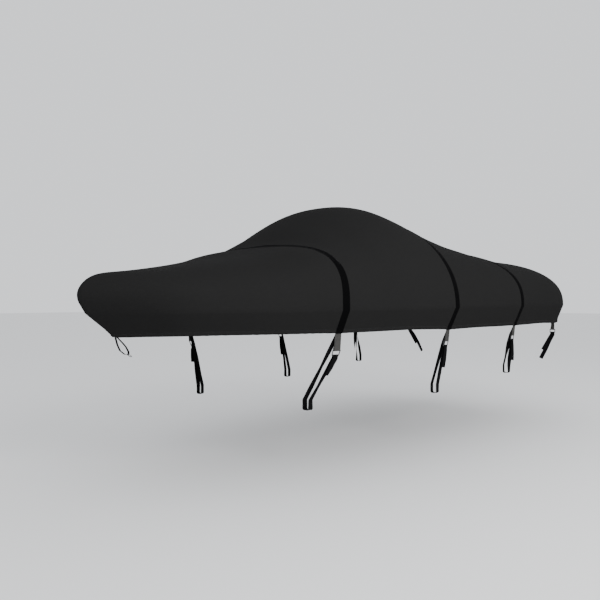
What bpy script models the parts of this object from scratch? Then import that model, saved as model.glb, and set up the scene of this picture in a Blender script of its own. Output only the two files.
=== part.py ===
"""Fitted boat cover in its taut shape, with its webbing, buckles and ties.

Metres, +Z up, +X towards the stern. The tables give x from the tip of the bow and z from the gunwale
line; ORIGIN then moves everything, so that the part's own origin is the point under its highest top.
"""
import math

import bmesh
import bpy
import numpy as np
from mathutils import Matrix, Vector

# ---------------------------------------------------------------- driving dimensions
CLOTH = 0.002                 # thickness of the cover's cloth
GAP = 0.0004                  # air between a sewn-on piece and the cloth under it
WEBBING = 0.0018              # thickness of all webbing
BAND_WIDTH = 0.066            # webbing bands sewn over the top
TAB_WIDTH = 0.060             # webbing of the tabs under the bands
STERN_TAB_WIDTH = 0.042
TIE_WIDTH = 0.046             # webbing of the ties
LOOP_WIDTH = 0.025            # webbing of the loop at the bow
COLUMN_SPACING = 0.150        # largest distance between two columns of the cloth
COLUMN_TURN = 19.0            # largest turn of the gunwale between two columns, in degrees
ROWS_UP = 15                  # rows from the gunwale to the centre line
HEM_HEIGHT = 0.026            # casing of the hem, with a cord sewn in
HEM_BULGE = 0.004
ORIGIN = Vector((2.70, 0.0, 0.9519 - CLOTH))

# height of the centre line above the gunwale, from the bow to the transom
PROFILE = (
    # x      z
    (0.00, 0.232),
    (0.20, 0.257),
    (0.45, 0.282),
    (0.80, 0.330),
    (1.10, 0.380),
    (1.40, 0.445),
    (1.60, 0.494),
    (1.83, 0.555),
    (2.00, 0.670),
    (2.20, 0.800),
    (2.45, 0.925),
    (2.75, 0.950),
    (3.10, 0.860),
    (3.50, 0.760),
    (3.95, 0.670),
    (4.40, 0.590),
    (4.90, 0.545),
    (5.40, 0.540),
    (5.80, 0.520),
)

# sections of the cover: each row is a curve from the hem over the gunwale up to the centre line
SECTIONS = (
    # gunwale: x, half breadth, z; centre x; fullness; hem: tuck inwards, drop; flare
    (0.060, 0.000, -0.030, 0.36, 5.6, 0.222, 0.168, 0.062),
    (0.152, 0.138, -0.030, 0.42, 5.3, 0.180, 0.175, 0.059),
    (0.284, 0.325, -0.027, 0.52, 4.5, 0.170, 0.172, 0.050),
    (0.450, 0.530, -0.026, 0.68, 3.5, 0.144, 0.167, 0.025),
    (0.750, 0.710, -0.025, 0.92, 3.0, 0.118, 0.165, 0.010),
    (1.150, 0.880, -0.022, 1.29, 3.1, 0.105, 0.169, 0.000),
    (1.500, 0.985, -0.017, 1.63, 3.6, 0.100, 0.176, 0.000),
    (1.750, 1.050, -0.015, 1.87, 3.0, 0.100, 0.180, 0.000),
    (2.050, 1.100, -0.015, 2.15, 2.2, 0.100, 0.179, 0.000),
    (2.400, 1.140, -0.014, 2.48, 2.2, 0.100, 0.178, 0.000),
    (2.800, 1.170, -0.009, 2.86, 2.05, 0.098, 0.190, 0.000),
    (3.200, 1.183, -0.004, 3.24, 2.05, 0.095, 0.205, 0.000),
    (3.650, 1.187, 0.000, 3.64, 2.07, 0.092, 0.206, 0.000),
    (4.150, 1.183, 0.000, 4.06, 2.3, 0.090, 0.210, 0.000),
    (4.650, 1.170, -0.001, 4.46, 2.65, 0.088, 0.210, 0.000),
    (5.150, 1.160, -0.001, 4.82, 2.6, 0.085, 0.206, 0.000),
    (5.520, 1.175, -0.003, 5.03, 2.4, 0.083, 0.210, 0.000),
    (5.730, 1.085, -0.003, 5.10, 2.6, 0.080, 0.207, 0.000),
    (5.745, 0.850, -0.001, 5.16, 2.8, 0.075, 0.203, 0.000),
    (5.775, 0.420, 0.000, 5.22, 3.0, 0.075, 0.200, 0.000),
    (5.780, 0.000, 0.000, 5.26, 3.0, 0.075, 0.200, 0.000),
)

# webbing bands: name and x where each crosses the gunwale
BANDS = (("fore", 1.655), ("mid", 3.072), ("aft", 4.452))
STERN_TAB = 6.150             # a fourth tab hangs under the transom, this far along the gunwale

# ties: the length of the tab above the buckle; how far the strap runs forward, inward and down from
# the hem (at the stern: from the buckle); the length of its free tail and how far that stands off;
# how far the webbing is turned halfway down its strands and beside the buckle, in degrees
TIES = {
    # name: tab, forward, inward, down, tail, apart, turn halfway, turn beside the buckle
    "fore": (0.128, 0.072, 0.290, 0.535, 0.170, 0.016, 20.0, 4.0),
    "mid": (0.098, 0.010, 0.170, 0.510, 0.200, 0.016, -10.0, -15.0),
    "aft": (0.098, 0.010, 0.120, 0.430, 0.220, 0.016, -40.0, -25.0),
    "stern": (0.080, 0.000, 0.115, 0.215, 0.370, 0.055, 20.0, 0.0),
}
TURN_WIDTH = 0.060            # room inside the turn at a strap's lowest point
TURN_HEIGHT = 0.080
BEHIND_TAB = 0.046            # how far behind the hem a strap passes its buckle
TAB_LEAN = 0.10               # how far a tab hangs inwards, for each metre down

TAB_INSIDE = 0.045            # how far a tab is sewn up behind the hem
# buckles: width, height and thickness of the frame, its bars, and its lower width by its upper one
BUCKLE = (0.078, 0.054, 0.006, 0.009, 0.88)
BUCKLE_SMALL = (0.068, 0.044, 0.006, 0.009, 1.00)
TURN_RADIUS = 0.0076          # webbing's middle, where it turns round a bar
SEAT = 0.0014                 # how far a pulled bar lies off the middle of that turn
SEW_GAP = 0.0009              # air between two layers of webbing that are sewn together

# the loop at the bow: x and z of the middle of its webbing, down one leg and up the other
BOW_LEGS = (
    (0.3128, -0.258),
    (0.3340, -0.302),
    (0.3760, -0.333),
)
BOW_BACK = (
    (0.4040, -0.312),
    (0.3830, -0.277),
    (0.3580, -0.250),
)
BOW_BAR = (0.3960, -0.3290)   # x and z of the ring's upper bar
BOW_RING = (0.032, 0.036, 0.005)   # width, height and wire of the ring


# ---------------------------------------------------------------- curves through the tables
def smooth(stations, values):
    """A curve through a table's values that never overshoots them."""
    t = np.asarray(stations, float)
    v = np.asarray(values, float)
    step = np.diff(t)
    slope = np.diff(v) / step
    tangent = np.zeros(len(v))
    tangent[0], tangent[-1] = slope[0], slope[-1]
    for i in range(1, len(v) - 1):
        if slope[i - 1] * slope[i] > 0:
            before = 2 * step[i] + step[i - 1]
            after = step[i] + 2 * step[i - 1]
            tangent[i] = (before + after) / (before / slope[i - 1] + after / slope[i])

    def curve(x):
        i = np.clip(np.searchsorted(t, x) - 1, 0, len(t) - 2)
        u = (x - t[i]) / step[i]
        return (
            (1 + 2 * u) * (1 - u) ** 2 * v[i]
            + u * (1 - u) ** 2 * step[i] * tangent[i]
            + u * u * (3 - 2 * u) * v[i + 1]
            + u * u * (u - 1) * step[i] * tangent[i + 1]
        )

    return curve


def spline(stations, values):
    """The smoothest curve through a table's values (a natural cubic spline)."""
    t = np.asarray(stations, float)
    v = np.asarray(values, float)
    count = len(t)
    h = np.diff(t)
    system = np.eye(count)
    right = np.zeros(count)
    for i in range(1, count - 1):
        system[i, i - 1:i + 2] = (h[i - 1], 2 * (h[i - 1] + h[i]), h[i])
        right[i] = 6 * ((v[i + 1] - v[i]) / h[i] - (v[i] - v[i - 1]) / h[i - 1])
    bend = np.linalg.solve(system, right)

    def curve(x):
        i = np.clip(np.searchsorted(t, x) - 1, 0, count - 2)
        a = (t[i + 1] - x) / h[i]
        b = (x - t[i]) / h[i]
        lift = ((a ** 3 - a) * bend[i] + (b ** 3 - b) * bend[i + 1]) * h[i] ** 2 / 6
        return a * v[i] + b * v[i + 1] + lift

    return curve


TABLE = np.array(SECTIONS)
ALONG = np.concatenate(([0.0], np.cumsum(np.hypot(*np.diff(TABLE[:, :2], axis=0).T))))
COLUMNS = [smooth(ALONG, TABLE[:, i]) for i in range(TABLE.shape[1])]
TOP = spline(*np.array(PROFILE).T)
HEM_ROWS = 5                  # rows below the gunwale: three on the hem's casing, two on the skirt


def cover_point(s, row):
    """A point on the port half of the cloth. s runs along the gunwale, row from the hem to the top."""
    x, half, z, centre, fullness, tuck, drop, flare = (column(s) for column in COLUMNS)
    ahead, behind = np.minimum(s + 0.001, ALONG[-1]), np.maximum(s - 0.001, 0.0)
    run = np.stack((COLUMNS[0](ahead) - COLUMNS[0](behind), COLUMNS[1](ahead) - COLUMNS[1](behind)))
    at_bow, at_stern = s < 1e-6, s > ALONG[-1] - 1e-6
    run = np.where(at_bow, np.array([[0.0], [1.0]]), run)
    run = np.where(at_stern, np.array([[0.0], [-1.0]]), run)
    run = run / np.linalg.norm(run, axis=0)
    inward = np.stack((run[1], -run[0]))
    gunwale = np.stack((x, half))
    hem = gunwale + inward * tuck
    if row < HEM_ROWS:
        slant = np.hypot(tuck, drop)
        casing = HEM_HEIGHT / slant
        up = (0.0, 0.5 * casing, casing, casing + (1 - casing) * 0.35, casing + (1 - casing) * 0.7)[row]
        bulge = HEM_BULGE if row == 1 else 0.0
        outward = np.stack((-inward[0], -inward[1])) * (drop / slant)
        plan = hem + (gunwale - hem) * up + outward * bulge
        height = z - drop * (1 - up) - bulge * tuck / slant
    else:
        angle = 0.5 * math.pi * (row - HEM_ROWS) / ROWS_UP
        across = np.maximum(math.cos(angle), 0.0) ** (2 / fullness)
        rise = math.sin(angle) ** (2 / fullness)
        if row == HEM_ROWS + ROWS_UP:
            across = across * 0.0
        spine = np.stack((centre, centre * 0.0))
        plan = spine + (gunwale - spine) * across - inward * flare * np.sin(math.pi * rise)
        height = z + (TOP(plan[0]) - z) * rise
    side = np.where(at_bow | at_stern | (row == HEM_ROWS + ROWS_UP), 0.0, -plan[1])
    return np.stack((plan[0], side, height), axis=-1)


def gunwale_station(x):
    """The distance along the gunwale at which it passes x."""
    steps = np.linspace(0.0, ALONG[17], 4000)
    return float(np.interp(x, COLUMNS[0](steps), steps))


def cover_columns():
    """Where the columns of the cloth stand along the gunwale, and which of them are a band's middle."""
    fine = np.linspace(0.0, ALONG[-1], 3000)
    heading = np.unwrap(np.arctan2(np.gradient(COLUMNS[1](fine), fine), np.gradient(COLUMNS[0](fine), fine)))
    turned = np.concatenate(([0.0], np.cumsum(np.abs(np.diff(heading)))))
    share = fine / COLUMN_SPACING + turned / math.radians(COLUMN_TURN)
    marks = [(0.0, None)]
    for name, x in BANDS:
        middle = gunwale_station(x)
        marks += [(middle - BAND_WIDTH / 2, None), (middle, name), (middle + BAND_WIDTH / 2, None)]
    marks.append((ALONG[-1], None))
    columns = []
    for (start, name), (end, _) in zip(marks, marks[1:]):
        first, last = np.interp((start, end), fine, share)
        count = max(1, math.ceil(last - first - 0.5))
        between = np.interp(first + (last - first) * np.arange(1, count) / count, share, fine)
        columns += [(start, name)] + [(float(place), None) for place in between]
    columns.append(marks[-1])
    return columns


def cover_grid():
    """All points of the port half, and the columns of each band's middle."""
    columns = cover_columns()
    base = np.array([s for s, _ in columns])
    middles = {name: i for i, (_, name) in enumerate(columns) if name}
    rows = []
    for row in range(HEM_ROWS + ROWS_UP + 1):
        s = base.copy()
        for i in middles.values():
            pair = cover_point(base[[i, i]] + np.array((-0.005, 0.005)), row)
            speed = np.linalg.norm(pair[1] - pair[0]) / 0.01
            half = BAND_WIDTH / 2 / speed
            s[i - 1], s[i + 1] = base[i] - half, base[i] + half
        rows.append(cover_point(s, row))
    return np.stack(rows, axis=1), middles


def vertex_normals(grid):
    """Outward normals of a grid of points, from the faces round each point."""
    total = np.zeros_like(grid)
    along, up = grid[1:] - grid[:-1], grid[:, 1:] - grid[:, :-1]
    corner = np.cross(along[:, :-1], up[:-1])
    corner /= np.maximum(np.linalg.norm(corner, axis=-1, keepdims=True), 1e-12)
    for i in (0, 1):
        for j in (0, 1):
            total[i:total.shape[0] - 1 + i, j:total.shape[1] - 1 + j] += corner
    total[:, -1, 1] = 0.0
    return total / np.maximum(np.linalg.norm(total, axis=-1, keepdims=True), 1e-12)


# ---------------------------------------------------------------- objects
def collection(name):
    made = bpy.data.collections.new(name)
    bpy.context.scene.collection.children.link(made)
    return made


def material(name, colour, roughness, metallic=0.0):
    made = bpy.data.materials.new(name)
    made.use_nodes = True
    shader = made.node_tree.nodes["Principled BSDF"]
    shader.inputs["Base Color"].default_value = (*colour, 1.0)
    shader.inputs["Roughness"].default_value = roughness
    shader.inputs["Metallic"].default_value = metallic
    return made


def add_object(name, mesh, finish, home):
    made = bpy.data.objects.new(name, mesh)
    if not mesh.materials:
        mesh.materials.append(finish)
    mesh.shade_smooth()
    home.objects.link(made)
    return made


def grid_mesh(name, grid):
    """A sheet of quads over a grid of points, moved to the part's own origin."""
    mesh = bpy.data.meshes.new(name)
    across = grid.shape[1]
    points = [tuple(Vector(p) - ORIGIN) for p in grid.reshape(-1, 3)]
    faces = [
        (i * across + j, (i + 1) * across + j, (i + 1) * across + j + 1, i * across + j + 1)
        for i in range(grid.shape[0] - 1)
        for j in range(across - 1)
    ]
    mesh.from_pydata(points, [], faces)
    return mesh


def thicken(sheet, thickness, offset):
    solid = sheet.modifiers.new("Thickness", "SOLIDIFY")
    solid.thickness = thickness
    solid.offset = offset
    solid.use_quality_normals = True


def mirror(sheet):
    both = sheet.modifiers.new("Both sides", "MIRROR")
    both.use_axis = (False, True, False)
    both.merge_threshold = 0.0001


def path_with_turns(corners, steps=5):
    """A line through corners (point, radius), each corner rounded to its radius."""
    points = [Vector(corners[0][0])]
    for (before, _), (corner, radius), (after, _) in zip(corners, corners[1:], corners[2:]):
        corner = Vector(corner)
        back = (Vector(before) - corner).normalized()
        on = (Vector(after) - corner).normalized()
        turn = math.pi - back.angle(on)
        if radius == 0.0 or turn < 0.02:
            points.append(corner)
            continue
        reach = radius * math.tan(turn / 2)
        middle = (back + on).normalized()
        centre = corner + middle * (radius / math.cos(turn / 2))
        start = corner + back * reach - centre
        axis = back.cross(on).normalized()
        for i in range(steps + 1):
            points.append(centre + Matrix.Rotation(-turn * i / steps, 3, axis) @ start)
    points.append(Vector(corners[-1][0]))
    return points


def spread(points, longest):
    """The same line with no stretch longer than a given length."""
    line = [points[0]]
    for start, end in zip(points, points[1:]):
        count = max(1, math.ceil((end - start).length / longest))
        line += [start.lerp(end, i / count) for i in range(1, count + 1)]
    return line


def webbing(name, line, width, finish, home, turns=None, across=(1.0, 0.0, 0.0)):
    """A flat strap along a line of points. turns maps a share of its length to a turn in degrees."""
    lengths = np.concatenate(([0.0], np.cumsum([(b - a).length for a, b in zip(line, line[1:])])))
    shares = lengths / lengths[-1]
    table = sorted((turns or {0.0: 0.0, 1.0: 0.0}).items())
    degrees = np.interp(shares, [k for k, _ in table], [v for _, v in table])
    edges = []
    for i, point in enumerate(line):
        heading = (line[min(i + 1, len(line) - 1)] - line[max(i - 1, 0)]).normalized()
        side = Vector(across) - heading * heading.dot(Vector(across))
        side = Matrix.Rotation(math.radians(degrees[i]), 3, heading) @ side.normalized()
        edges.append([point - side * width / 2, point + side * width / 2])
    sheet = grid_mesh(name, np.array([[tuple(p) for p in pair] for pair in edges]))
    strap = add_object(name, sheet, finish, home)
    thicken(strap, WEBBING, 0.0)
    return strap


def wire_ring(name, width, height, wire, finish, home):
    """A closed rectangular ring of round wire with rounded corners, flat in its own XY plane."""
    radius = min(width, height) * 0.28
    centres = [(width / 2 - radius, height / 2 - radius), (radius - width / 2, height / 2 - radius)]
    centres += [(-x, -y) for x, y in centres]
    rings = bmesh.new()
    loops = []
    for quarter, (x, y) in enumerate(centres):
        for step in range(4):
            angle = math.radians(90 * quarter + 30 * step)
            out = Vector((math.cos(angle), math.sin(angle), 0.0))
            middle = Vector((x, y, 0.0)) + out * radius
            loops.append([
                rings.verts.new(middle + (out * math.cos(turn) + Vector((0, 0, math.sin(turn)))) * wire / 2)
                for turn in (math.radians(45 * i) for i in range(8))
            ])
    for first, second in zip(loops, loops[1:] + loops[:1]):
        for i in range(8):
            rings.faces.new((first[i], second[i], second[(i + 1) % 8], first[(i + 1) % 8]))
    bmesh.ops.recalc_face_normals(rings, faces=rings.faces)
    mesh = bpy.data.meshes.new(name)
    rings.to_mesh(mesh)
    return add_object(name, mesh, finish, home)


def lay_flat(piece, centre, across, down):
    """Turns a piece so that its X follows across and its Y points against down, and puts it at centre."""
    x = Vector(across).normalized()
    y = -(Vector(down) - x * x.dot(Vector(down))).normalized()
    turn = Matrix((x, y, x.cross(y))).transposed().to_4x4()
    turn.translation = Vector(centre) - ORIGIN
    piece.matrix_world = turn


# ---------------------------------------------------------------- the pieces
def build_cover(home, cloth, band_webbing):
    grid, middles = cover_grid()
    shell = add_object("cover_shell", grid_mesh("cover_shell", grid), cloth, home)
    mirror(shell)
    thicken(shell, CLOTH, -1.0)
    outward = vertex_normals(grid)
    for name, i in middles.items():
        lying = grid[i - 1:i + 2] + outward[i - 1:i + 2] * GAP
        lying[:, -1, 1] = 0.0
        band = add_object("band_" + name, grid_mesh("band_" + name, lying), band_webbing, home)
        mirror(band)
        thicken(band, WEBBING, 1.0)


def hem_frame(station):
    """The lowest point of the hem at a station, the way up along the skirt, along it and out of it."""
    places = np.array((station - 0.02, station, station + 0.02))
    feet = cover_point(places, 0)
    foot = Vector(feet[1])
    up = (Vector(cover_point(places, HEM_ROWS)[1]) - foot).normalized()
    along = Vector(feet[2] - feet[0])
    along = (along - up * along.dot(up)).normalized()
    return foot, up, along, along.cross(up).normalized()


def on_side(point, side):
    """The same point on the port side (1) or mirrored to the starboard side (-1)."""
    return Vector((point.x, point.y * side, point.z))


def hanging(along, side):
    """The way down along a tab, square to the hem."""
    down = Vector((0.0, TAB_LEAN * side, -1.0))
    return (down - along * along.dot(down)).normalized()


def tab_line(foot, up, out, down, drop, inside):
    """A tab from inside the hem down to a bar, round it and back up behind itself."""
    behind = out * -inside
    away = (out - down * out.dot(down)).normalized()
    front = foot + behind - up * 0.009 + down * drop
    turned = away * -(2 * TURN_RADIUS)
    layer = away * -(WEBBING + 0.0014)
    corners = [
        (foot + up * TAB_INSIDE + behind, 0.0),
        (foot + behind - up * 0.009, 0.010),
        (front + down * TURN_RADIUS, TURN_RADIUS),
        (front + down * TURN_RADIUS + turned, TURN_RADIUS),
        (front - down * 0.012 + turned, 0.006),
        (front - down * 0.034 + layer, 0.012),
        (front - down * (drop - 0.030) + layer, 0.0),
    ]
    return spread(path_with_turns(corners, 4), 0.050), front + turned * 0.5, away


def buckle_mesh(name, size, plastic, cutters):
    """A moulded frame round one slot, made once and shared by the buckles of its size."""
    width, height, thickness, bar, taper = size
    bpy.ops.mesh.primitive_cube_add(size=1.0)
    frame = bpy.context.object
    frame.scale = (width, height, thickness)
    bpy.ops.object.transform_apply(location=False, rotation=False, scale=True)
    bpy.ops.mesh.primitive_cube_add(size=1.0)
    slot = bpy.context.object
    slot.name = name + "_slot"
    slot.scale = (width - 1.6 * bar, height - 2 * bar, thickness * 3)
    bpy.ops.object.transform_apply(location=False, rotation=False, scale=True)
    for block in (frame, slot):
        for vertex in block.data.vertices:
            if vertex.co.y < 0:
                vertex.co.x *= taper
    for used in list(slot.users_collection):
        used.objects.unlink(slot)
    cutters.objects.link(slot)
    slot.hide_render = True
    slot.display_type = "WIRE"
    cut = frame.modifiers.new("Slot", "BOOLEAN")
    cut.operation = "DIFFERENCE"
    cut.solver = "EXACT"
    cut.object = slot
    rounded = frame.modifiers.new("Rounded", "BEVEL")
    rounded.width = 0.0013
    rounded.segments = 1
    rounded.limit_method = "ANGLE"
    bpy.context.view_layer.update()
    shape = bpy.data.meshes.new_from_object(frame.evaluated_get(bpy.context.evaluated_depsgraph_get()))
    bpy.data.objects.remove(frame)
    shape.name = name
    shape.materials.clear()
    shape.materials.append(plastic)
    return shape


def tail_corners(bar, down, away, standing, tail, apart):
    """The free tail of a tie, from its end to the back of the bar that it passes over."""
    front = away * TURN_RADIUS
    aside = away * apart
    return [
        (bar + front + standing * tail + aside, 0.0),
        (bar + front + standing * (tail * 0.62) + aside * 0.95, 0.08),
        (bar + front + standing * (tail * 0.30) + aside * 0.55, 0.05),
        (bar + front * 1.3 + down * 0.022, 0.02),
        (bar + front - down * TURN_RADIUS, TURN_RADIUS),
        (bar - front - down * TURN_RADIUS, TURN_RADIUS),
        (bar - front + down * 0.020, 0.03),
    ]


def tie_line(name, bar, down, away, side):
    """The loose tie at the stern: its tail, once over the bar, and its other end."""
    _, forward, inward, drop, tail, apart = TIES[name][:6]
    end = bar + Vector((-forward, inward * side, -drop))
    corners = tail_corners(bar, down, away, (end - bar).normalized(), tail, apart)
    return spread(path_with_turns(corners + [(end, 0.0)], 3), 0.080)


def strap_line(name, hem, bar, down, away, side):
    """A tie in use: its tail, over the bar, down to its lowest turn, and up to where it is sewn."""
    foot, up, out = hem
    _, forward, inward, drop, tail, apart = TIES[name][:6]
    inner = foot + Vector((-forward, inward * side, -drop))
    outer = inner - Vector((0.0, TURN_WIDTH * side, 0.0))
    below = Vector((0.0, 0.0, -TURN_HEIGHT))
    sewn = out * -(CLOTH + GAP + 1.5 * WEBBING + 0.0002 + SEW_GAP)
    corners = tail_corners(bar, down, away, (outer - bar).normalized(), tail, apart)
    corners += [
        (outer, 0.030),
        (outer + below, 0.016),
        (inner + below, 0.016),
        (inner, 0.030),
        (foot + Vector((-forward * 0.2, max(inward * 0.2, BEHIND_TAB) * side, -0.100)), 0.080),
        (foot + sewn - up * 0.002, 0.012),
        (foot + sewn + up * 0.036, 0.0),
    ]
    return spread(path_with_turns(corners, 3), 0.080)


def pulled(name, foot, bar, along, side):
    """The way that a strap pulls its buckle, square to the tab's bar."""
    _, forward, inward, drop = TIES[name][:4]
    way = foot + Vector((-forward, (inward - TURN_WIDTH) * side, -drop)) - bar
    return (way - along * along.dot(way)).normalized()


def tie_turns(name, line, side):
    """Turns of a tie's webbing along its length: a twisted tail, and strands that turn their edges."""
    length = sum((b - a).length for a, b in zip(line, line[1:]))
    tail = (TIES[name][4] + 0.02) / length
    halfway, beside = (degrees * side for degrees in TIES[name][6:])
    turns = {0.0: 1.1 * halfway, tail * 0.35: 0.4 * halfway, tail * 0.80: 0.0, tail + 0.05: 0.0}
    if name == "stern":
        turns[1.0] = -1.2 * halfway
        return turns
    lowest = (TURN_WIDTH + 2 * TURN_HEIGHT) / length
    strand = (1 - tail - lowest) / 2
    first, second = tail + strand, tail + strand + lowest
    turns.update({tail + strand * 0.55: -halfway, first: 0.0, second: 0.0, second + strand * 0.35: halfway})
    turns.update({1 - (TIES[name][0] + 0.090) / length: beside, 0.95: 0.0, 1.0: 0.0})
    return turns


def build_side(side, label, home, finishes, buckles):
    """The tabs, buckles and ties of one side: under the three bands and under the transom."""
    grey, black = finishes
    stations = [(name, gunwale_station(x)) for name, x in BANDS] + [("stern", STERN_TAB)]
    for name, station in stations:
        corner = name == "stern"
        foot, up, along, out = (on_side(v, side) for v in hem_frame(station))
        down = hanging(along, side)
        size = BUCKLE_SMALL if corner else BUCKLE
        inside = CLOTH + GAP + WEBBING / 2 + (0.0026 if corner else 0.0002)
        line, bar, away = tab_line(foot, up, out, down, TIES[name][0], inside)
        width = STERN_TAB_WIDTH if corner else TAB_WIDTH
        webbing(f"tab_{name}_{label}", line, width, grey, home, across=along)
        buckle = bpy.data.objects.new(f"buckle_{name}_{label}", buckles[corner])
        home.objects.link(buckle)
        to_bar = size[1] / 2 - size[3] / 2 + SEAT
        pull = down if corner else pulled(name, foot, bar, along, side)
        away = (away - pull * away.dot(pull)).normalized()
        lay_flat(buckle, bar + pull * to_bar, along, pull)
        lower = bar + pull * (2 * to_bar)
        if corner:
            line = tie_line(name, lower, pull, away, side)
        else:
            line = strap_line(name, (foot, up, out), lower, pull, away, side)
        webbing(f"tie_{name}_{label}", line, TIE_WIDTH, black, home, tie_turns(name, line, side), along)


def build_bow(home, black, steel):
    """The loop of webbing sewn inside the hem at the bow, and the ring it carries."""
    foot, up, along, out = hem_frame(0.0)
    foot, up = Vector((foot.x, 0.0, foot.z)), Vector((up.x, 0.0, up.z)).normalized()
    inward = Vector((-up.z, 0.0, up.x))
    inward = inward if inward.x > 0 else -inward
    bar = Vector((BOW_BAR[0], 0.0, BOW_BAR[1]))
    first, second = inward * 0.0110, inward * (0.0110 + WEBBING + 0.0014)
    legs = [(Vector((x, 0.0, z)), 0.03) for x, z in BOW_LEGS]
    back = [(Vector((x, 0.0, z)), 0.03) for x, z in BOW_BACK]
    corners = [(foot + up * 0.040 + first, 0.0), (foot + first - up * 0.006, 0.02)] + legs
    corners += [(bar + Vector((0.0075, 0.0, -0.0095)), 0.006), (bar + Vector((0.0100, 0.0, 0.0050)), 0.008)]
    corners += back + [(foot + second - up * 0.012, 0.02), (foot + up * 0.040 + second, 0.0)]
    line = spread(path_with_turns(corners, 4), 0.045)
    webbing("bow_loop", line, LOOP_WIDTH, black, home, across=(0.0, 1.0, 0.0))
    width, height, wire = BOW_RING
    ring = wire_ring("bow_ring", width, height, wire, steel, home)
    down = Vector((0.80, 0.0, -0.60))
    lay_flat(ring, bar + down * (height / 2 - wire / 2 + 0.0048), (0.0, 1.0, 0.0), down)


# ---------------------------------------------------------------- assembly
for old in list(bpy.data.objects):
    bpy.data.objects.remove(old)

boat_cover = collection("boat_cover")
cutter_home = collection("cutters")
cloth_black = material("cover_cloth", (0.022, 0.022, 0.023), 0.85)
webbing_black = material("band_webbing", (0.006, 0.006, 0.007), 0.75)
webbing_grey = material("tab_webbing", (0.066, 0.065, 0.063), 0.80)
strap_black = material("tie_webbing", (0.010, 0.010, 0.011), 0.75)
buckle_black = material("buckle_plastic", (0.012, 0.012, 0.013), 0.45)
ring_steel = material("ring_steel", (0.30, 0.30, 0.31), 0.35, 1.0)

build_cover(boat_cover, cloth_black, webbing_black)
frames = (
    buckle_mesh("buckle_frame", BUCKLE, buckle_black, cutter_home),
    buckle_mesh("buckle_frame_small", BUCKLE_SMALL, buckle_black, cutter_home),
)
for way, word in ((1, "port"), (-1, "starboard")):
    build_side(way, word, boat_cover, (webbing_grey, strap_black), frames)
build_bow(boat_cover, strap_black, ring_steel)
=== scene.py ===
"""A fitted boat cover, pulled taut, with its bands, tabs, buckles, ties, bow loop and ring."""
import math

import bmesh
import bpy
import numpy as np
from mathutils import Matrix, Vector


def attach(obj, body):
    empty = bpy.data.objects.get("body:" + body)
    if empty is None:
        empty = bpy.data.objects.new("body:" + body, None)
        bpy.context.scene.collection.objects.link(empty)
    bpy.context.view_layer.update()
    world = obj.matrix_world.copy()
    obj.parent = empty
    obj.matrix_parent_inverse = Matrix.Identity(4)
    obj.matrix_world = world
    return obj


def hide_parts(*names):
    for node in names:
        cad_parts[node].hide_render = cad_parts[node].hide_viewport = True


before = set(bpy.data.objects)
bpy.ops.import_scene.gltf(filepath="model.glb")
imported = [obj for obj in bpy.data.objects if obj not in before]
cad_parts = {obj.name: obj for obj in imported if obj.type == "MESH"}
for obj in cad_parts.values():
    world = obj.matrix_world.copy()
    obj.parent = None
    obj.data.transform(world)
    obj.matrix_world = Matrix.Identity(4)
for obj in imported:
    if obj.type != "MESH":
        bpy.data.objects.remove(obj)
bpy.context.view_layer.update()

# ---------------- camera, light and floor
# A level camera off the port bow at eye height, and a plain pale floor well below the cover. Soft
# light: a bright sky all round, a wide lamp abeam, and weaker ones off the quarter and ahead.
CAMERA_AT = (-4.984, -4.169, -0.880)
CAMERA_LOOKS = (0.736, 0.677, 0.0)
SENSOR_WIDTH = 36.0           # in millimetres, as is the focal length
FOCAL_LENGTH = 39.6
HORIZON_SHIFT = -0.0017
FARTHEST_VIEW = 200.0
SKY_COLOUR = (0.95, 0.97, 1.0, 1.0)
SKY_STRENGTH = 1.15
LAMPS = (
    # name, place, point that it looks at, size, power
    ("lamp_side", (-2.8, -7.6, 2.6), (-0.3, 0.0, -0.6), 4.0, 470.0),
    ("lamp_quarter", (4.0, -9.0, 3.6), (0.3, 0.0, -0.5), 5.0, 200.0),
    ("lamp_ahead", (-8.0, -2.0, 5.0), (-0.5, 0.0, -0.5), 5.0, 40.0),
)
FLOOR_Z = -2.257
FLOOR_REACH = 60
FLOOR_COLOUR = (0.80, 0.80, 0.80, 1.0)
FLOOR_ROUGHNESS = 0.9


def aimed(name, data, place, heading):
    """Puts a camera or a lamp in the studio, looking along a heading."""
    made = bpy.data.objects.new(name, data)
    made.location = place
    made.rotation_mode = "QUATERNION"
    made.rotation_quaternion = Vector(heading).to_track_quat("-Z", "Y")
    bpy.context.scene.collection.objects.link(made)
    return made


camera_data = bpy.data.cameras.new("camera")
camera_data.sensor_width = SENSOR_WIDTH
camera_data.lens = FOCAL_LENGTH
camera_data.shift_y = HORIZON_SHIFT
camera_data.clip_end = FARTHEST_VIEW
bpy.context.scene.camera = aimed("camera", camera_data, CAMERA_AT, CAMERA_LOOKS)

sky = bpy.data.worlds.new("studio_sky")
sky.use_nodes = True
sky_shade = sky.node_tree.nodes["Background"]
sky_shade.inputs["Color"].default_value = SKY_COLOUR
sky_shade.inputs["Strength"].default_value = SKY_STRENGTH
bpy.context.scene.world = sky

for lamp_name, place, aim, size, power in LAMPS:
    lamp = bpy.data.lights.new(lamp_name, "AREA")
    lamp.shape = "DISK"
    lamp.size = size
    lamp.energy = power
    aimed(lamp_name, lamp, place, Vector(aim) - Vector(place))

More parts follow.
